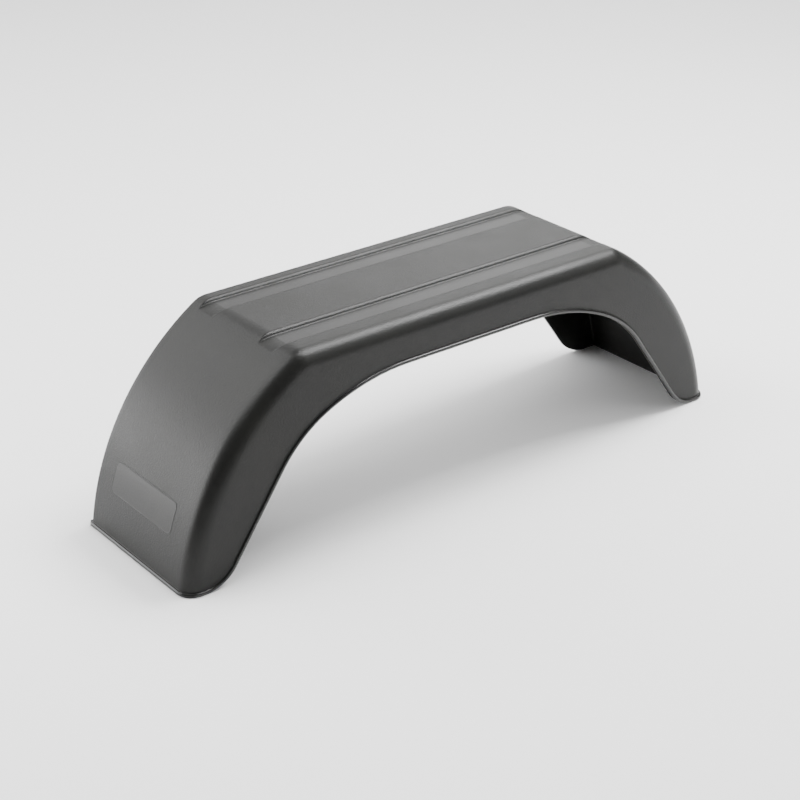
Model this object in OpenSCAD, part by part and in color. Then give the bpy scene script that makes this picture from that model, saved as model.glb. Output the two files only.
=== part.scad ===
// Trailer mudguard: one moulded plastic shell over a single wheel.
// X runs along the wheel's travel, -Y is the outer side, +Y is the flat side that meets the trailer.
// The origin is on the ground under the middle of the guard.

/* [Overall] */
// Length over the edge beads
length = 750; // [710:1:800]
// Width from the flat inner face to the outer bead
width = 202; // [185:1:240]
// Height from the feet to the flat top
height = 230; // [215:1:245]
// Thickness of the moulded wall
wall = 3.5; // [2.5:0.5:5]

/* [Ends] */
// Outer radius of the curved end panels
end_r = 316; // [300:1:360]
// Outer radius of the soft fold between the top and an end panel
fold_r = 30; // [24:1:45]
// Turn of the fold, in degrees
fold_turn = 32; // [28:1:36]

/* [Long edges] */
// Outer radius of the long edge on the outer side
outer_edge_r = 18; // [12:1:20]
// Outer radius of the long edge on the inner side
inner_edge_r = 6; // [5.5:0.5:10]

/* [Top grooves] */
// Width of each groove at its top edges
groove_w = 39; // [30:1:44]
// Depth of each groove
groove_d = 4; // [3:0.5:5]
// Rounding of the groove's top edges
groove_edge_r = 6; // [5:0.5:8]
// Radius on which a groove floor dips beyond the fold, until it runs out
groove_runout_r = 70; // [50:1:100]
// Raised strip between the inner face and the first groove
inner_strip = 14.5; // [11:0.5:20]
// Raised strip between the second groove and the outer face
outer_strip = 32; // [24:1:40]

/* [Wheel arch] */
// Height of the skirts at the crown of the wheel arch
skirt_depth = 48; // [40:1:60]
// Radius of the arch's shoulder, next to its flat crown
shoulder_r = 240; // [210:1:260]
// Turn of the shoulder, in degrees
shoulder_turn = 26; // [22:1:30]
// Radius of the arch's hip, between its shoulder and its straight leg
hip_r = 150; // [120:1:180]
// Slope of the straight leg below the hip, in degrees
leg_angle = 55; // [50:1:60]
// Rounding of a foot, where the leg meets the ground
foot_r = 47; // [30:1:55]
// Flat length of a foot along the ground
foot_flat = 22; // [12:1:40]

/* [Edge bead] */
// Height of the bead round the outer free edge
bead_h = 4.5; // [3:0.5:8]
// How far the bead stands out from the wall
bead_out = 2.5; // [1.5:0.5:4]

/* [Hidden] */
$fn = 128;

// Arcs and straights that run into each other cross by this much, so that they meet in one clean line.
lap = 0.03;
// Pieces of the shell run this far into each other where they join.
seam = 1;
// Cutters reach this far past what they cut.
past = 150;

y_outer = -width / 2 + bead_out;
y_inner = width / 2;

// The end panel touches the fold, and its bead meets the ground at the full length.
fold_z = height - fold_r;
end_z = fold_z - (end_r - fold_r) * cos(fold_turn);
end_x = length / 2 - sqrt(pow(end_r + bead_out, 2) - pow(end_z, 2));
fold_x = end_x + (end_r - fold_r) * sin(fold_turn);
top_run = ceil(fold_x) + seam;

// The swept skin reaches just past the end of the outer edge's rounding, and the skirts start there.
skin_depth = outer_edge_r + 2 * seam;
skirt_start = outer_edge_r + seam;

// An end panel is swept on to where it would stand upright, below the ground.
upright = 90;
// Straight pieces along each arc of an outline that ends up inside the wall
arc_steps = 24;

// The two grooves, by the middle of each in Y
groove_y = [y_inner - inner_strip - groove_w / 2, y_outer + outer_strip + groove_w / 2];
ridge_w = groove_w - 2 * (groove_edge_r - wall);
// The arc is far enough round here to have left the skin.
runout_turn = 40;

// The wheel arch, from its foot back to its crown
arch_h = height - skirt_depth;
shell_end = end_x + sqrt(pow(end_r, 2) - pow(end_z, 2));
foot_x = shell_end - foot_flat;
foot_reach = foot_r * tan(leg_angle / 2);
shoulder_z = arch_h - shoulder_r;
hip_z = shoulder_z + (shoulder_r - hip_r) * cos(shoulder_turn);
leg_drop = hip_z + hip_r * cos(leg_angle);
hip_x = foot_x - foot_reach - leg_drop / tan(leg_angle) - hip_r * sin(leg_angle);
shoulder_x = hip_x - (shoulder_r - hip_r) * sin(shoulder_turn);
shoulder_end = shoulder_x + shoulder_r * sin(shoulder_turn);

// Cross-section of the skin at a depth below the outer surface, filled down to skin_depth.
// Its x is the guard's Y, and its y is minus the depth.
module skin_fill(depth) {
    outer_c = y_outer + outer_edge_r;
    inner_c = y_inner - inner_edge_r;
    intersection() {
        union() {
            translate([outer_c, -skin_depth]) square([inner_c - outer_c, skin_depth - depth]);
            translate([y_outer + depth, -skin_depth])
                square([y_inner - y_outer - 2 * depth, skin_depth - outer_edge_r]);
            translate([outer_c, -skin_depth]) square([y_inner - depth - outer_c, skin_depth - inner_edge_r]);
            translate([outer_c, -outer_edge_r]) circle(outer_edge_r - depth);
            translate([inner_c, -inner_edge_r]) circle(inner_edge_r - depth);
        }
        translate([y_outer - past, -skin_depth]) square([width + 2 * past, skin_depth + past]);
    }
}

// Cross-section of the plain wall
module wall_section() {
    difference() {
        skin_fill(0);
        skin_fill(wall);
    }
}

// A groove's open section: its floor lies groove_d down, and its top edges are rounded.
module groove_section() {
    difference() {
        translate([-groove_w / 2, -groove_d]) square([groove_w, groove_d + fold_r]);
        for (side = [-1, 1]) translate([side * groove_w / 2, lap - groove_edge_r]) circle(groove_edge_r);
    }
}

// The wall below a groove, so that the shell keeps its thickness there
module ridge_section() {
    translate([-ridge_w / 2, -groove_d - wall]) square([ridge_w, groove_d + wall / 2]);
}

module both_ends() {
    for (turn = [0, 1]) mirror([turn, 0, 0]) children();
}

// Moves to a point of the side view in steps of falling size, which keeps every digit of the point,
// so that neighbouring sweeps meet exactly.
module place(x, z) {
    fine = 1000;
    fine_x = floor((x - floor(x)) * fine) / fine;
    fine_z = floor((z - floor(z)) * fine) / fine;
    translate([floor(x), 0, floor(z)])
        translate([fine_x, 0, fine_z])
            translate([x - floor(x) - fine_x, 0, z - floor(z) - fine_z]) children();
}

// Sweeps a cross-section round an axis along Y, between two angles down from upright.
module bend(x, z, radius, from, to) {
    place(x, z)
        rotate([-90, 0, 0])
            rotate_extrude(angle = to - from, start = from - 90)
                translate([radius, 0]) mirror([1, -1]) children();
}

// Runs a cross-section along the flat top, from the middle to one fold.
module along_top() {
    place(fold_x, height)
        translate([-top_run, 0, 0]) rotate([90, 0, 90]) linear_extrude(top_run) children();
}

// Extrudes a side view along Y, from one Y to another.
module across(y_from, y_to) {
    translate([0, y_to, 0]) rotate([90, 0, 0]) linear_extrude(y_to - y_from) children();
}

// The swept skin: flat top, two folds and two end panels
module skin() {
    both_ends() {
        along_top() wall_section();
        bend(fold_x, fold_z, fold_r, 0, fold_turn) wall_section();
        bend(end_x, end_z, end_r, fold_turn, upright) wall_section();
    }
}

// Points on an arc of the side view, between two angles down from upright
function arc(x, z, radius, from, to) =
    [for (step = [0:arc_steps]) let (a = from + (to - from) * step / arc_steps)
        [x + radius * sin(a), z + radius * cos(a)]];

// Side view of all that lies deeper than a given depth below the top and the end panels. It is only used
// for outlines that end up inside the wall.
module side_outline(depth) {
    both_ends()
        polygon(concat(
            [[-seam, end_z], [-seam, height - depth]],
            arc(fold_x, fold_z, fold_r - depth, 0, fold_turn),
            arc(end_x, end_z, end_r - depth, fold_turn, upright)
        ));
}

// Side view of the wheel arch and all below the ground, grown by an even margin
module arch_outline(grow = 0) {
    both_ends() {
        translate([-seam, -past]) square([length, past + grow]);
        difference() {
            union() {
                crown_outline(grow);
                leg_outline(grow);
            }
            translate([foot_x, foot_r]) circle(foot_r - grow + lap);
        }
    }
}

// Below the flat crown and the shoulder
module crown_outline(grow) {
    translate([-seam, -past]) square([shoulder_x + seam, past + arch_h + grow]);
    intersection() {
        translate([shoulder_x, shoulder_z]) circle(shoulder_r + grow + lap);
        translate([-seam, -past])
            square([shoulder_end + grow * sin(shoulder_turn) + seam, past + arch_h + 2 * grow + seam]);
    }
}

// Below the hip and the straight leg, down to the rounding of the foot
module leg_outline(grow) {
    reach = (foot_r - grow) * tan(leg_angle / 2);
    translate([hip_x, hip_z]) {
        circle(hip_r + grow + 2 * lap);
        rotate(-leg_angle) square([(leg_drop + past) / sin(leg_angle), hip_r + grow + lap]);
    }
    translate([foot_x - reach * (1 + cos(leg_angle)), -past])
        square([reach * (1 + cos(leg_angle)), past + grow + reach * sin(leg_angle)]);
}

// Outer and inner skirts, below the skin
module skirts() {
    across(y_outer, y_outer + wall) side_outline(skirt_start);
    across(y_inner - wall, y_inner) side_outline(skirt_start);
}

// The run of each groove: along the flat top, then past each fold on a wide arc that runs out of the skin
module groove_runs() {
    for (y = groove_y) translate([0, y, 0]) both_ends() {
        along_top() children();
        bend(fold_x, height - groove_runout_r, groove_runout_r, 0, runout_turn) children();
    }
}

// The wall below the grooves, kept inside the shell's own wall where they run out
module ridges() {
    intersection() {
        groove_runs() ridge_section();
        across(y_outer, y_inner) side_outline(wall / 2);
    }
}

// Cross-section of the bead on an end panel: it follows the outer edge and ends at the flat inner face.
module bead_section() {
    intersection() {
        difference() {
            skin_fill(-bead_out);
            skin_fill(wall / 2);
        }
        translate([y_inner - width - past, -skin_depth]) square([width + past, skin_depth + past]);
    }
}

// The bead round the free edge of the outer skirt and of the end panels
module edge_bead() {
    intersection() {
        union() {
            both_ends() bend(end_x, end_z, end_r, fold_turn, upright) bead_section();
            across(y_outer - bead_out, y_outer + wall / 2) side_outline(skirt_start);
        }
        across(y_outer - past, y_inner + past) arch_outline(bead_h);
    }
}

module mudguard_shell() {
    color("#3b3b3d")
        difference() {
            union() {
                skin();
                skirts();
                ridges();
                edge_bead();
            }
            across(y_outer - past, y_inner + past) arch_outline();
            groove_runs() groove_section();
        }
}

mudguard_shell();
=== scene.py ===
# %% [markdown]
# A trailer mudguard is one moulded sheet of black plastic: a flat top with two shallow grooves, a soft fold and a
# curved panel at each end, and a skirt down each side that is cut away round the wheel. The CAD solid gives its size.
# Here the same shell is built again as a clean grid of four-sided faces, because a smooth plastic skin shows every
# uneven facet as a kink in its highlights.

# %% Load the measured frame
from math import acos, atan2, cos, degrees, hypot, radians, sin, sqrt, tan

import bmesh
import bpy
from mathutils import Matrix, Vector


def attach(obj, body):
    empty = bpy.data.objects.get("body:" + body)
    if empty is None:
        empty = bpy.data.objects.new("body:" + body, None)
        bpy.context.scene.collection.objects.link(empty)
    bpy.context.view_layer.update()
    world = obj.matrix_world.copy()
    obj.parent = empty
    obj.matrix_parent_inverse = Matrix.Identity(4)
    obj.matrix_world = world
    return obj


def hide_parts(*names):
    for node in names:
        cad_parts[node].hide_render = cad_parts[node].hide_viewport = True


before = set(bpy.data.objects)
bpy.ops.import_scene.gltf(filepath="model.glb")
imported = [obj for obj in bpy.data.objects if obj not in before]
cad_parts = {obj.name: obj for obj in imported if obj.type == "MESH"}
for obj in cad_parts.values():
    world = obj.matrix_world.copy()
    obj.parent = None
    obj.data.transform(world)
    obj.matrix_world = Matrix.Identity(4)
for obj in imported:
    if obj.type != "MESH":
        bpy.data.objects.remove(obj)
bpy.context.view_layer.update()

# %% [markdown]
# Every length below is in millimetres and is the same as in the CAD source, so the two shapes lie on each other.
# A name here always means the outer surface of the plastic, and the wall goes inwards from it. Two points closer than
# NEAR count as one, HAIR is the slack where two sums should come out equal, and METRES turns millimetres into metres.

# %% Sizes of the mudguard
LENGTH, HEIGHT, WALL = 750.0, 230.0, 3.5
OUTER_Y, INNER_Y = -98.5, 101.0
END_R, FOLD_R, FOLD_TURN = 316.0, 30.0, 32.0
OUTER_EDGE_R, INNER_EDGE_R = 18.0, 6.0
BEAD_H, BEAD_OUT = 4.5, 2.5
GROOVES_Y, GROOVE_W, GROOVE_D = (67.0, -47.0), 39.0, 4.0
GROOVE_EDGE_R, FLOOR_FILLET_R, RUNOUT_R, RUNOUT_TURN = 6.0, 2.5, 70.0, 40.0
NEAR, HAIR, METRES = 1e-3, 1e-6, 0.001

fold_z = HEIGHT - FOLD_R
end_z = fold_z - (END_R - FOLD_R) * cos(radians(FOLD_TURN))
end_x = LENGTH / 2 - sqrt((END_R + BEAD_OUT) ** 2 - end_z ** 2)
fold_x = end_x + (END_R - FOLD_R) * sin(radians(FOLD_TURN))
print("Fold starts at x =", round(fold_x, 2), "and the end panel turns about", round(end_x, 2), round(end_z, 2))

# %% [markdown]
# The shell starts as a cross-section, seen from the end: up the outer edge, over the top and down the inner edge.
# A mould maker rounds every outer edge, because hot plastic won't fill a sharp one. The points crowd together where
# the line turns, and stay far apart where it is flat.

# %% Cross-section of the skin
SKIN_DEPTH, EDGE_STEPS = OUTER_EDGE_R, 12
PLAIN_LINES = (-73.0, -20.0, -10.0, 1.0, 10.0, 20.0, 30.0, 37.0, 90.0)
FLOOR_LINES = (-8.0, 0.0, 8.0)
# Distances from a groove's top edge, across its shoulder and its fillet
SHOULDER_LINES = (-0.8, 0, 0.9, 1.8, 2.6, 3.4, 4.1, 4.7, 5.2, 5.7, 6.1, 6.5, 6.9, 7.3, 8.2)
INNER_DROPS = (8.0, 13.0, SKIN_DEPTH)


def rounded(centre_y, radius, side):
    """Points of an edge's rounding, from its side to the top."""
    turns = [radians(90 * step / EDGE_STEPS) for step in range(EDGE_STEPS + 1)]
    return [(centre_y + side * radius * cos(t), radius - radius * sin(t)) for t in turns]


outer_side = rounded(OUTER_Y + OUTER_EDGE_R, OUTER_EDGE_R, -1)
inner_side = rounded(INNER_Y - INNER_EDGE_R, INNER_EDGE_R, 1)
top_y = set(PLAIN_LINES)
for middle in GROOVES_Y:
    top_y.update(middle + offset for offset in FLOOR_LINES)
    for side in (-1, 1):
        top_y.update(round(middle + side * (GROOVE_W / 2 - line), 3) for line in SHOULDER_LINES)
inner_drop = [(INNER_Y, depth) for depth in INNER_DROPS]
section = outer_side + [(y, 0.0) for y in sorted(top_y)] + inner_side[::-1] + inner_drop
print("Points in the cross-section:", len(section))

# %% [markdown]
# The section is swept along the guard: straight along the top, round the fold, then round the wide end panel.
# Spin does both jobs, since a spin with no angle is a straight run. Only one half is made, as the guard is
# the same at both ends. The steps are fine at the fold, where the grooves will run out.

# %% Sweep the skin
TOP_STEPS, FOLD_STEPS, RUNOUT_STEPS, PANEL_STEPS = 14, 16, 24, 42
FINE_PART, SWEEP_END = 6, 80
AXIS = (0, 1, 0)

bm = bmesh.new()
verts = [bm.verts.new((0, y, HEIGHT - depth)) for y, depth in section]
line = [bm.edges.new(pair) for pair in zip(verts, verts[1:])]


def sweep(geom, centre, turn, run, steps):
    """Sweeps a line round an axis along Y, or straight along X, and returns its last copy."""
    made = bmesh.ops.spin(bm, geom=geom, cent=(centre[0], 0, centre[1]), axis=AXIS, dvec=(run / steps, 0, 0),
                          angle=radians(turn), steps=steps, use_merge=False, use_duplicate=False)
    return made["geom_last"]


last = sweep(verts + line, (0, 0), 0, fold_x, TOP_STEPS)
last = sweep(last, (fold_x, fold_z), FOLD_TURN, 0, FOLD_STEPS)
last = sweep(last, (end_x, end_z), FINE_PART, 0, RUNOUT_STEPS)
last = sweep(last, (end_x, end_z), SWEEP_END - FOLD_TURN - FINE_PART, 0, PANEL_STEPS)
print("Faces swept:", len(bm.faces))

# %% [markdown]
# The bottom of each end panel lies flat on the ground, but the sweep's rows stand square to the curve. The last
# rows are pulled out of the row above and then slid along their own circles, down to one height each.

# %% Finish the panel's foot on level rows
ROW_ABOVE_BEAD = 1.4
FREE_ROWS = (BEAD_H + ROW_ABOVE_BEAD, BEAD_H, 0.0)


def slide_to(co, z):
    """Moves a point along its own circle of the end panel to another height."""
    reach = hypot(co.x - end_x, co.z - end_z)
    turn = acos((z - end_z) / reach)
    return Vector((end_x + reach * sin(turn), co.y, z))


def only(geom, kind):
    return [g for g in geom if isinstance(g, kind)]


def pull(edges, place):
    """Extrudes a line of edges, puts each new vertex in its place, and returns the new line and faces."""
    made = bmesh.ops.extrude_edge_only(bm, edges=edges)["geom"]
    new = set(only(made, bmesh.types.BMVert))
    for v in new:
        v.co = place(v.co)
    return [e for e in only(made, bmesh.types.BMEdge) if set(e.verts) <= new], only(made, bmesh.types.BMFace)


bead_mark = bm.faces.layers.int.new("bead")
row = only(last, bmesh.types.BMEdge)
for z in FREE_ROWS:
    row, faces = pull(row, lambda co: slide_to(co, z))
for f in faces:
    f[bead_mark] = 1
print("Faces with the level rows:", len(bm.faces))

# %% [markdown]
# A groove is a shallow channel with rounded shoulders. It keeps its depth along the top, and past the fold its
# floor stays on a wider arc than the skin does, so the skin drops away from it and the groove runs out. Each
# vertex in a groove is pulled in to the floor's arc, but never pushed out past the skin.

# %% Press the grooves in
def groove_depth(y):
    """Depth of the groove's section: a rounded shoulder that runs into a fillet at the floor."""
    within = max(GROOVE_W / 2 - abs(y - middle) for middle in GROOVES_Y)
    slope = acos(1 - GROOVE_D / (GROOVE_EDGE_R + FLOOR_FILLET_R))
    shoulder, floor_start = GROOVE_EDGE_R * sin(slope), (GROOVE_EDGE_R + FLOOR_FILLET_R) * sin(slope)
    if within <= 0:
        return 0.0
    if within < shoulder:
        return GROOVE_EDGE_R - sqrt(GROOVE_EDGE_R ** 2 - within ** 2)
    if within < floor_start:
        return GROOVE_D - FLOOR_FILLET_R + sqrt(FLOOR_FILLET_R ** 2 - (floor_start - within) ** 2)
    return GROOVE_D


runout_z = HEIGHT - RUNOUT_R
pressed = 0
for v in bm.verts:
    depth = groove_depth(v.co.y)
    if depth <= 0:
        continue
    if v.co.x <= fold_x + HAIR:
        v.co.z = HEIGHT - depth
        pressed += 1
        continue
    across, up = v.co.x - fold_x, v.co.z - runout_z
    reach = hypot(across, up)
    if degrees(atan2(across, up)) < RUNOUT_TURN and reach > RUNOUT_R - depth:
        v.co.x = fold_x + across * (RUNOUT_R - depth) / reach
        v.co.z = runout_z + up * (RUNOUT_R - depth) / reach
        pressed += 1
print("Vertices pressed into the grooves:", pressed)

# %% [markdown]
# The wheel arch is a chain of arcs and straights: a flat crown, a wide shoulder, a tighter hip, a straight leg and
# the rounding of the foot. One function walks along it, and can also walk beside it at an even distance.

# %% Line of the wheel arch
SKIRT_DEPTH, SHOULDER_R, SHOULDER_TURN = 48.0, 240.0, 26.0
HIP_R, LEG_ANGLE, FOOT_R, FOOT_FLAT = 150.0, 55.0, 47.0, 22.0

arch_h = HEIGHT - SKIRT_DEPTH
foot_x = end_x + sqrt(END_R ** 2 - end_z ** 2) - FOOT_FLAT
shoulder_z = arch_h - SHOULDER_R
hip_z = shoulder_z + (SHOULDER_R - HIP_R) * cos(radians(SHOULDER_TURN))
leg_drop = hip_z + HIP_R * cos(radians(LEG_ANGLE))
hip_x = (foot_x - FOOT_R * tan(radians(LEG_ANGLE / 2)) - leg_drop / tan(radians(LEG_ANGLE))
         - HIP_R * sin(radians(LEG_ANGLE)))
shoulder_x = hip_x - (SHOULDER_R - HIP_R) * sin(radians(SHOULDER_TURN))
leg_top = Vector((hip_x + HIP_R * sin(radians(LEG_ANGLE)), leg_drop))
leg_foot = Vector((foot_x - FOOT_R * sin(radians(LEG_ANGLE)), FOOT_R * (1 - cos(radians(LEG_ANGLE)))))
stretches = [shoulder_x, radians(SHOULDER_TURN) * SHOULDER_R, radians(LEG_ANGLE - SHOULDER_TURN) * HIP_R,
             (leg_foot - leg_top).length, radians(LEG_ANGLE) * FOOT_R]
arch_length = sum(stretches)


def arch(walked, beside=0.0):
    """A point of the arch's line after a walk from the crown's middle, moved into the skirt by an even distance."""
    crown, shoulder, hip, leg, foot = stretches
    if walked <= crown:
        return walked, arch_h + beside
    walked -= crown
    if walked <= shoulder:
        a = walked / SHOULDER_R
        return shoulder_x + (SHOULDER_R + beside) * sin(a), shoulder_z + (SHOULDER_R + beside) * cos(a)
    walked -= shoulder
    if walked <= hip:
        a = radians(SHOULDER_TURN) + walked / HIP_R
        return hip_x + (HIP_R + beside) * sin(a), hip_z + (HIP_R + beside) * cos(a)
    walked -= hip
    if walked <= leg:
        a = radians(LEG_ANGLE)
        point = leg_top.lerp(leg_foot, walked / leg)
        return point.x + beside * sin(a), point.y + beside * cos(a)
    a = radians(LEG_ANGLE) - min(walked - leg, foot) / FOOT_R
    return foot_x - (FOOT_R - beside) * sin(a), FOOT_R - (FOOT_R - beside) * cos(a)


print("Half of the arch's line measures", round(arch_length, 1), "mm")

# %% [markdown]
# A skirt fills the side from the skin's lower edge to the arch. Its rows are pulled from the skin's edge towards the
# arch a bit at a time, so the long faces stay in line with both. The last rows follow the arch at the bead's height,
# and run on along the foot into the level rows of the end panel.

# %% Fill the skirts
# Share of the arch's line that lies below the end of the top, the fold and the fine part of the end panel
SHARES = ((TOP_STEPS, 0.41), (FOLD_STEPS, 0.46), (RUNOUT_STEPS, 0.53))
SKIRT_PARTS = (0.25, 0.5, 0.75, 1.0)


def share_of_arch(i, last_i):
    """Share of the arch's line, from the crown's middle, that the i-th point of the skin's edge is joined to."""
    first, share = 0, 0.0
    for steps, next_share in SHARES:
        if i <= first + steps:
            return share + (next_share - share) * (i - first) / steps
        first, share = first + steps, next_share
    return share + (1 - share) * (i - first) / (last_i - first)


def skirt(side_y):
    """Fills one side from the skin's lower edge to the free edge."""
    row = [e for e in bm.edges if e.is_boundary and all(abs(v.co.y - side_y) < NEAR for v in e.verts)
           and all(v.co.z > FREE_ROWS[0] - NEAR for v in e.verts) and any(v.co.x > NEAR for v in e.verts)]
    starts = sorted({v for e in row for v in e.verts}, key=lambda v: v.co.x)
    start_at = [v.co.copy() for v in starts]
    goals = [arch(arch_length * share_of_arch(i, len(starts) - 1), FREE_ROWS[0]) for i in range(len(starts))]
    rung, corner = [], starts[-1]
    for part in SKIRT_PARTS:
        made = bmesh.ops.extrude_edge_only(bm, edges=row)["geom"]
        new = sorted(only(made, bmesh.types.BMVert), key=lambda v: v.co.x)
        for v, start, goal in zip(new, start_at, goals):
            v.co = start.lerp(Vector((goal[0], side_y, goal[1])), part)
        row = [e for e in only(made, bmesh.types.BMEdge) if set(e.verts) <= set(new)]
        rung.append(bm.edges.get((corner, new[-1])))
        corner = new[-1]
    line = row + rung
    for beside in FREE_ROWS[1:]:
        line, faces = pull(line, lambda co: nearest_line(co, beside, side_y))
    for f in faces:
        f[bead_mark] = 1


def nearest_line(co, beside, side_y):
    """Moves a point of one free row to the row at another distance from the free edge."""
    if co.x >= foot_x - NEAR:
        return slide_to(co, beside) if on_skin_edge(co) else Vector((co.x, side_y, beside))
    if co.x <= shoulder_x:
        return Vector((co.x, side_y, arch_h + beside))
    shoulder = shoulder_x, shoulder_z, SHOULDER_R, SHOULDER_TURN
    for cx, cz, radius, most in (shoulder, (hip_x, hip_z, HIP_R, LEG_ANGLE)):
        turn = atan2(co.x - cx, co.z - cz)
        if turn <= radians(most) + HAIR:
            return Vector((cx + (radius + beside) * sin(turn), side_y, cz + (radius + beside) * cos(turn)))
    a = radians(LEG_ANGLE)
    along = Vector((cos(a), -sin(a)))
    walked = (Vector((co.x, co.z)) - leg_top).dot(along)
    if walked <= (leg_foot - leg_top).length:
        base = leg_top + along * walked
        return Vector((base.x + beside * sin(a), side_y, base.y + beside * cos(a)))
    turn = atan2(foot_x - co.x, FOOT_R - co.z)
    return Vector((foot_x - (FOOT_R - beside) * sin(turn), side_y, FOOT_R - (FOOT_R - beside) * cos(turn)))


def on_skin_edge(co):
    return abs(hypot(co.x - end_x, co.z - end_z) - (END_R - SKIN_DEPTH)) < NEAR


skirt(OUTER_Y)
skirt(INNER_Y)
bmesh.ops.remove_doubles(bm, verts=bm.verts, dist=NEAR)
half = bm.verts[:] + bm.edges[:] + bm.faces[:]
bmesh.ops.mirror(bm, geom=half, matrix=Matrix.Identity(4), merge_dist=NEAR, axis="X")
bmesh.ops.remove_doubles(bm, verts=bm.verts, dist=NEAR)
bmesh.ops.recalc_face_normals(bm, faces=bm.faces)
bm.normal_update()
highest = max(bm.faces, key=lambda f: f.calc_center_median().z)
if highest.normal.z < 0:
    bmesh.ops.reverse_faces(bm, faces=bm.faces)
print("Faces:", len(bm.faces), "free edges:", sum(e.is_boundary for e in bm.edges),
      "bad edges:", sum(len(e.link_faces) not in (1, 2) for e in bm.edges))

# %% [markdown]
# Solidify gives the skin its wall, inwards, with the outside left where it is. It is applied straight away, since
# the bead has to be raised on the outside only. The end panels lean a little at the ground, so the rim is set level.

# %% Give the shell its wall
RIM_LEAN = 0.6


def finished(source, name):
    """Ends a bmesh and returns an object that holds it, in the scene."""
    mesh = bpy.data.meshes.new(name)
    source.to_mesh(mesh)
    source.free()
    piece = bpy.data.objects.new(name, mesh)
    bpy.context.scene.collection.objects.link(piece)
    return piece


def open_edges():
    return sum(not e.is_manifold for e in bm.edges)


def set_level():
    for v in bm.verts:
        if abs(v.co.z) < RIM_LEAN:
            v.co.z = 0


carrier = finished(bm, "wall_carrier")
wall = carrier.modifiers.new("wall", "SOLIDIFY")
wall.thickness, wall.offset, wall.use_even_offset, wall.use_quality_normals = WALL, -1, True, True
bm = bmesh.new()
bm.from_mesh(bpy.data.meshes.new_from_object(carrier.evaluated_get(bpy.context.evaluated_depsgraph_get())))
bpy.data.objects.remove(carrier)
set_level()
print("Faces with the wall:", len(bm.faces), "open edges:", open_edges())

# %% [markdown]
# The bead is a lip that stiffens the free edge of the thin plastic. It goes round the outer skirt and the bottom of
# both end panels, and stops at the flat inner side, which lies against the trailer. The band of faces that was
# marked on the way is raised, each vertex straight out from the skin.

# %% Raise the bead
FACING = 0.7


def outward(co):
    """Direction straight out of the skin at a point near the free edge, on the right or the left half."""
    side = 1 if co.x >= 0 else -1
    x = abs(co.x) - end_x
    reach = hypot(x, co.z - end_z)
    radial = Vector((side * x / reach, 0, (co.z - end_z) / reach))
    depth = END_R - reach
    if depth >= OUTER_EDGE_R - NEAR or co.y <= OUTER_Y + NEAR:
        return Vector((0, -1, 0))
    if co.y < OUTER_Y + OUTER_EDGE_R:
        return (Vector((0, co.y - OUTER_Y - OUTER_EDGE_R, 0)) + radial * (OUTER_EDGE_R - depth)).normalized()
    if co.y > INNER_Y - INNER_EDGE_R:
        return (Vector((0, co.y - INNER_Y + INNER_EDGE_R, 0)) + radial * (INNER_EDGE_R - depth)).normalized()
    return radial


def depth_in_panel(co):
    """How deep a point lies below the end panel's outer surface."""
    return END_R - hypot(abs(co.x) - end_x, co.z - end_z)


bead_mark = bm.faces.layers.int.get("bead")
band = []
for f in bm.faces:
    centre = f.calc_center_median()
    off_inner_skirt = centre.y < 0 or depth_in_panel(centre) < INNER_EDGE_R and centre.y < INNER_Y - NEAR
    if f[bead_mark] == 1 and off_inner_skirt and f.normal.dot(outward(centre)) > FACING:
        band.append(f)
made = bmesh.ops.extrude_face_region(bm, geom=band)["geom"]
bmesh.ops.delete(bm, geom=band, context="FACES")
for v in only(made, bmesh.types.BMVert):
    v.co += outward(v.co) * BEAD_OUT
    v.co.y = min(v.co.y, INNER_Y)
set_level()
bmesh.ops.remove_doubles(bm, verts=bm.verts, dist=2 * NEAR)
bmesh.ops.dissolve_degenerate(bm, edges=bm.edges, dist=NEAR)
print("Faces in the bead's band:", len(band), "open edges now:", open_edges())

# %% [markdown]
# No moulded edge is truly sharp. The bead is nearly half round, so its outer edges get a wide rounding first, which
# catches the light as the bright line along it. Then the other outer edges and the corner under the bead get a
# small one each. An edge counts as sharp when its two faces turn more than 40 degrees.

# %% Round the sharp edges
SHARP_TURN, ABOUT, FAR_FROM_FOLD = 40, 0.3, 20
BEAD_ROUNDING, RIM_ROUNDING, HOLLOW_ROUNDING = (1.9, 4), (0.8, 2), (0.3, 2)
END_HEIGHT, END_REACH = 7, 8


def sharp_edges():
    bm.normal_update()
    return [e for e in bm.edges if e.is_manifold and e.calc_face_angle(0) > radians(SHARP_TURN)]


def stands_out(co):
    """How far a point lies outside the skin, on the bead."""
    return max(OUTER_Y - co.y, -depth_in_panel(co) if abs(co.x) > fold_x + FAR_FROM_FOLD else 0)


def on_beads_face(v):
    """Whether a vertex lies on the bead's outer face, also where that turns the outer corner."""
    turned = OUTER_EDGE_R - depth_in_panel(v.co)
    round_out = hypot(turned, v.co.y - OUTER_Y - OUTER_EDGE_R) - OUTER_EDGE_R
    at_corner = v.co.y < OUTER_Y + OUTER_EDGE_R and turned > 0 and abs(round_out - BEAD_OUT) < ABOUT
    return v.co.y < INNER_Y - NEAR and (stands_out(v.co) > BEAD_OUT - ABOUT or at_corner)


def at_beads_end(v):
    """Whether a vertex lies where the bead runs out at an inner foot, too thin there to be rounded."""
    return v.co.z < END_HEIGHT and v.co.y > INNER_Y - END_REACH and depth_in_panel(v.co) < END_REACH


def soften(edges, offset, segments):
    bmesh.ops.bevel(bm, geom=edges, offset=offset, offset_type="OFFSET", segments=segments, profile=0.5,
                    affect="EDGES", clamp_overlap=True, material=-1)
    print("Edges rounded:", len(edges), "by", offset, "mm, open edges:", open_edges())


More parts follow.
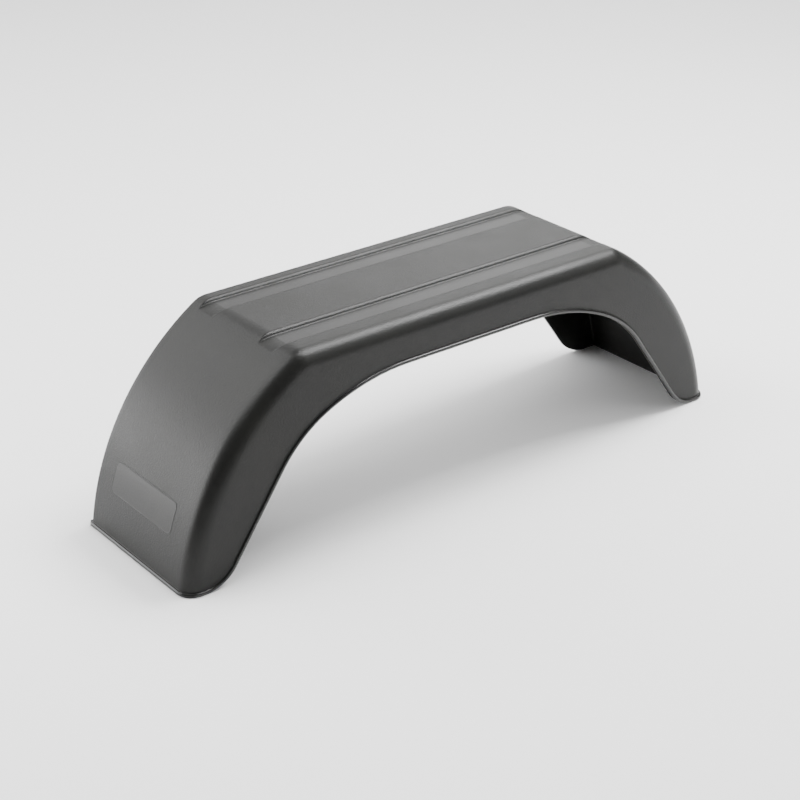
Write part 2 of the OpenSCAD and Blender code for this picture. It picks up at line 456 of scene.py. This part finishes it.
soften([e for e in sharp_edges() if e.is_convex and all(on_beads_face(v) for v in e.verts)], *BEAD_ROUNDING)
soften([e for e in sharp_edges() if e.is_convex and not at_beads_end(e.verts[0])], *RIM_ROUNDING)
soften([e for e in sharp_edges() if not e.is_convex and not at_beads_end(e.verts[0])], *HOLLOW_ROUNDING)

# %% [markdown]
# The mould isn't equally rough everywhere. The groove floors look a little smoother and lighter than the skin beside
# them, and the bead is nearly glossy. So the faces get numbers here, and each number gets its own finish of the same
# plastic further down. Then the shell goes from millimetres to metres and takes the CAD node's place.

# %% Mark the smooth faces and finish the shell
BLASTED, SMOOTH, GLOSSY = 0, 1, 2
FLAT, LEVEL, PAST_FOLD = 0.99, 0.05, 1

for f in bm.faces:
    centre = f.calc_center_median()
    at_floor = abs(centre.z - HEIGHT + GROOVE_D) < LEVEL and abs(centre.x) < fold_x + PAST_FOLD
    if stands_out(centre) > ABOUT:
        f.material_index = GLOSSY
    elif at_floor and f.normal.z > FLAT:
        f.material_index = SMOOTH
    else:
        f.material_index = BLASTED
bmesh.ops.scale(bm, vec=(METRES, METRES, METRES), verts=bm.verts)
print("Faces:", len(bm.faces), "of which smooth or glossy:", sum(f.material_index != BLASTED for f in bm.faces))
shell = finished(bm, "shell")
shell.data.shade_smooth()
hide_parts("mudguard_shell")
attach(shell, "root")

# %% [markdown]
# The left end panel carries a low plate with rounded corners: a narrow raised band round a smoother field. It is a
# flat rectangle first. A bevel on its vertices rounds the corners, an extrusion gives it height, and two insets leave
# the band and set the field lower. Then it is cut across, so that it can be bent on to the panel's curve. Its foot is
# sunk a little into the skin, so that no gap shows round it.

# %% Plate on the left end panel
FRAME_SIZE, FRAME_MIDDLE_Y, FRAME_TURN = (37.0, 122.0), 8.5, 69.5
FRAME_CORNER_R, BAND_W, BAND_UP, BAND_SUNK, FIELD_DOWN = 7.0, 1.4, 0.2, 0.3, 0.1
FIELD_EDGE_W, CORNER_STEPS, CUTS, UPWARD = 0.5, 6, 24, 0.9

bm = bmesh.new()
bmesh.ops.create_grid(bm, x_segments=1, y_segments=1, size=0.5)
bmesh.ops.scale(bm, vec=(*FRAME_SIZE, 1), verts=bm.verts)
bmesh.ops.bevel(bm, geom=bm.verts[:], offset=FRAME_CORNER_R, offset_type="OFFSET", segments=CORNER_STEPS, profile=0.5,
                affect="VERTICES", clamp_overlap=True, material=-1)
raised = only(bmesh.ops.extrude_face_region(bm, geom=bm.faces[:])["geom"], bmesh.types.BMVert)
bmesh.ops.translate(bm, vec=(0, 0, BAND_SUNK + BAND_UP), verts=raised)
bmesh.ops.recalc_face_normals(bm, faces=bm.faces)
field = [f for f in bm.faces if f.normal.z > UPWARD]
bmesh.ops.inset_region(bm, faces=field, thickness=BAND_W, use_even_offset=True)
bmesh.ops.inset_region(bm, faces=field, thickness=FIELD_EDGE_W, depth=-FIELD_DOWN, use_even_offset=True)
for f in field:
    f.material_index = SMOOTH
for step in range(1, CUTS):
    cut_x = (step - CUTS / 2) * FRAME_SIZE[0] / CUTS
    bmesh.ops.bisect_plane(bm, geom=bm.verts[:] + bm.edges[:] + bm.faces[:], dist=NEAR / 10,
                           plane_co=(cut_x, 0, 0), plane_no=(1, 0, 0))
bmesh.ops.recalc_face_normals(bm, faces=bm.faces)
print("Flat frame:", len(bm.faces), "faces")
for v in bm.verts:
    reach, turn = END_R - BAND_SUNK + v.co.z, radians(FRAME_TURN) + v.co.x / END_R
    v.co = (-end_x - reach * sin(turn), FRAME_MIDDLE_Y + v.co.y, end_z + reach * cos(turn))
bmesh.ops.recalc_face_normals(bm, faces=bm.faces)
print("Frame faces:", len(bm.faces), "open edges:", open_edges(), "volume in mm3:", round(bm.calc_volume(), 1))
bmesh.ops.scale(bm, vec=(METRES, METRES, METRES), verts=bm.verts)
panel_frame = finished(bm, "panel_frame")
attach(panel_frame, "root")

# %% [markdown]
# The plastic is black polypropylene, injection moulded in a tool with a finely blasted face. It is nearly black by
# itself, so most of what the eye sees is soft light off its satin surface, which reads as grey. The tool's face
# leaves a grain of about a tenth of a millimetre, too fine to show at this size of picture. It is drawn at 2 mm, so
# that it breaks up the light as the real grain does. A slow change of tone over some 60 mm stands for the way
# hot plastic flows and cools unevenly. The three finishes differ only in how rough, bright and grained they are.

# %% Plastic
GRAIN_SIZE, GRAIN_DEPTH, CLOUD_SIZE, ROUGHNESS_SPREAD = 0.002, 0.0003, 0.06, 0.03


def linear(code):
    """sRGB hex to linear RGBA."""
    parts = [int(code[i:i + 2], 16) / 255 for i in (1, 3, 5)]
    return tuple(c / 12.92 if c <= 0.04045 else ((c + 0.055) / 1.055) ** 2.4 for c in parts) + (1.0,)


def add(tree, kind, settings=None, **links):
    node = tree.nodes.new(kind)
    for key, value in (settings or {}).items():
        if key in node.inputs:
            node.inputs[key].default_value = value
        else:
            setattr(node, key, value)
    for key, source in links.items():
        tree.links.new(source, node.inputs[key.replace("_", " ")])
    return node


def polypropylene(name, roughness, sheen, grain_up):
    """One finish of the moulded plastic. Noise scales are one over the size of a feature in metres."""
    material = bpy.data.materials.new(name)
    material.use_nodes = True
    tree = material.node_tree
    surface = tree.nodes["Principled BSDF"]
    place = add(tree, "ShaderNodeTexCoord").outputs["Object"]
    grain = add(tree, "ShaderNodeTexNoise", {"Scale": 1 / GRAIN_SIZE, "Detail": 3.0, "Roughness": 0.65}, Vector=place)
    cloud = add(tree, "ShaderNodeTexNoise", {"Scale": 1 / CLOUD_SIZE, "Detail": 3.0, "Roughness": 0.5}, Vector=place)
    tone = add(tree, "ShaderNodeValToRGB", Fac=cloud.outputs["Fac"])
    tone.color_ramp.elements[0].position, tone.color_ramp.elements[0].color = 0.3, linear("#131312")
    tone.color_ramp.elements[1].position, tone.color_ramp.elements[1].color = 0.7, linear("#181816")
    tree.links.new(tone.outputs["Color"], surface.inputs["Base Color"])
    rough = add(tree, "ShaderNodeMapRange", {"From Min": 0.3, "From Max": 0.7,
                                             "To Min": roughness - ROUGHNESS_SPREAD,
                                             "To Max": roughness + ROUGHNESS_SPREAD}, Value=cloud.outputs["Fac"])
    tree.links.new(rough.outputs["Result"], surface.inputs["Roughness"])
    bump = add(tree, "ShaderNodeBump", {"Strength": grain_up, "Distance": GRAIN_DEPTH}, Height=grain.outputs["Fac"])
    tree.links.new(bump.outputs["Normal"], surface.inputs["Normal"])
    surface.inputs["IOR"].default_value = 1.49
    surface.inputs["Specular IOR Level"].default_value = sheen
    return material


blasted = polypropylene("blasted_polypropylene", 0.36, 0.235, 0.9)
smooth = polypropylene("smooth_polypropylene", 0.31, 0.3, 0.3)
glossy = polypropylene("glossy_polypropylene", 0.2, 0.5, 0.1)
for piece in (shell, panel_frame):
    piece.data.materials.append(blasted)
    piece.data.materials.append(smooth)
shell.data.materials.append(glossy)
print("Materials:", [material.name for material in shell.data.materials])

# %% [markdown]
# The photograph was taken from the guard's outer left, a little above it, on plain white. The camera stands where
# the guard's corners fall on the same points of the picture.

# %% Camera
FOCAL_PIXELS, PICTURE_PIXELS, SENSOR_MM = 1841.6, 800, 36

eye = Vector((-1.1526, -1.4886, 1.0090))
azimuth, elevation, roll = radians(-37.17), radians(26.43), radians(-0.84)
back = Vector((sin(azimuth) * cos(elevation), -cos(azimuth) * cos(elevation), sin(elevation)))
right = back.cross(Vector((0, 0, -1))).normalized()
up = back.cross(right)
tilted_right = right * cos(roll) + up * sin(roll)
tilted_up = back.cross(tilted_right)
lens = bpy.data.cameras.new("camera")
lens.sensor_width, lens.lens = SENSOR_MM, FOCAL_PIXELS * SENSOR_MM / PICTURE_PIXELS
camera = bpy.data.objects.new("camera", lens)
bpy.context.scene.collection.objects.link(camera)
camera.matrix_world = Matrix.Translation(eye) @ Matrix((tilted_right, tilted_up, back)).transposed().to_4x4()
bpy.context.scene.camera = camera
print("Lens in mm:", round(lens.lens, 1), "and distance in m:", round(eye.length, 2))

# %% [markdown]
# White paper lies under the guard, and all light is soft. Dark satin plastic shows its shape by what it mirrors, so
# each light is a large pale surface for one part of the guard: the walls behind it for the flat top, the pair on the
# left for the end panel, the key and the light high above it for the bright line on the long edge and along the
# bead, the bridge between them so that the tones run on without a dark gap, and the fill for the side that faces us.
# A broad sun from overhead makes the paper white.

# %% Floor and light
FLOOR_REACH = 12

sheet = bmesh.new()
bmesh.ops.create_grid(sheet, x_segments=1, y_segments=1, size=FLOOR_REACH)
floor = finished(sheet, "floor")
paper = bpy.data.materials.new("white_paper")
paper.use_nodes = True
white = paper.node_tree.nodes["Principled BSDF"]
white.inputs["Base Color"].default_value = linear("#fbfbfb")
white.inputs["Roughness"].default_value = 0.9
floor.data.materials.append(paper)

world = bpy.data.worlds.new("studio")
world.use_nodes = True
glow = world.node_tree.nodes["Background"]
glow.inputs["Color"].default_value = (1, 1, 1, 1)
glow.inputs["Strength"].default_value = 0.35
bpy.context.scene.world = world


def hang(lamp, at, way):
    """Puts a light in the scene at a place, shining one way."""
    holder = bpy.data.objects.new(lamp.name, lamp)
    bpy.context.scene.collection.objects.link(holder)
    holder.matrix_world = Matrix.Translation(at) @ way.to_track_quat("-Z", "Y").to_matrix().to_4x4()


def softbox(name, at, aim, size, power):
    lamp = bpy.data.lights.new(name, "AREA")
    lamp.shape, lamp.size, lamp.size_y, lamp.energy = "RECTANGLE", size[0], size[1], power
    hang(lamp, at, Vector(aim) - Vector(at))


softbox("wall_right", (3.2, 2.7, 1.65), (3.2, 0, 0.6), (3.0, 1.5), 44)
softbox("wall_middle", (0.7, 2.7, 1.75), (0.7, 0, 0.6), (2.0, 1.7), 20)
softbox("wall_left", (-1.4, 2.7, 1.35), (-1.4, 0, 0.6), (2.2, 2.5), 67)
softbox("back_left", (-2.0, 1.7, 0.4), (-0.33, 0, 0.1), (2.4, 0.75), 42)
softbox("top_left", (-0.9, 0.5, 1.4), (-0.6, 0.25, 0), (0.8, 0.8), 15)
softbox("bridge", (1.35, 1.1, 1.9), (0, 0, 0.2), (1.0, 1.0), 8)
softbox("key", (1.15, -0.12, 1.9), (0, -0.1, 0.2), (1.1, 0.75), 72)
softbox("high", (0.3, -0.08, 2.1), (0.1, -0.09, 0.2), (0.5, 0.4), 18)
softbox("fill", (1.5, -1.74, 1.6), (0, 0, 0.1), (2.0, 2.0), 22)
sky = bpy.data.lights.new("overhead", "SUN")
sky.energy, sky.angle = 1.1, radians(50)
hang(sky, (0, 0, 0), Vector((-0.5, 0, -0.866)))
print("Lights:", [light.name for light in bpy.data.lights])
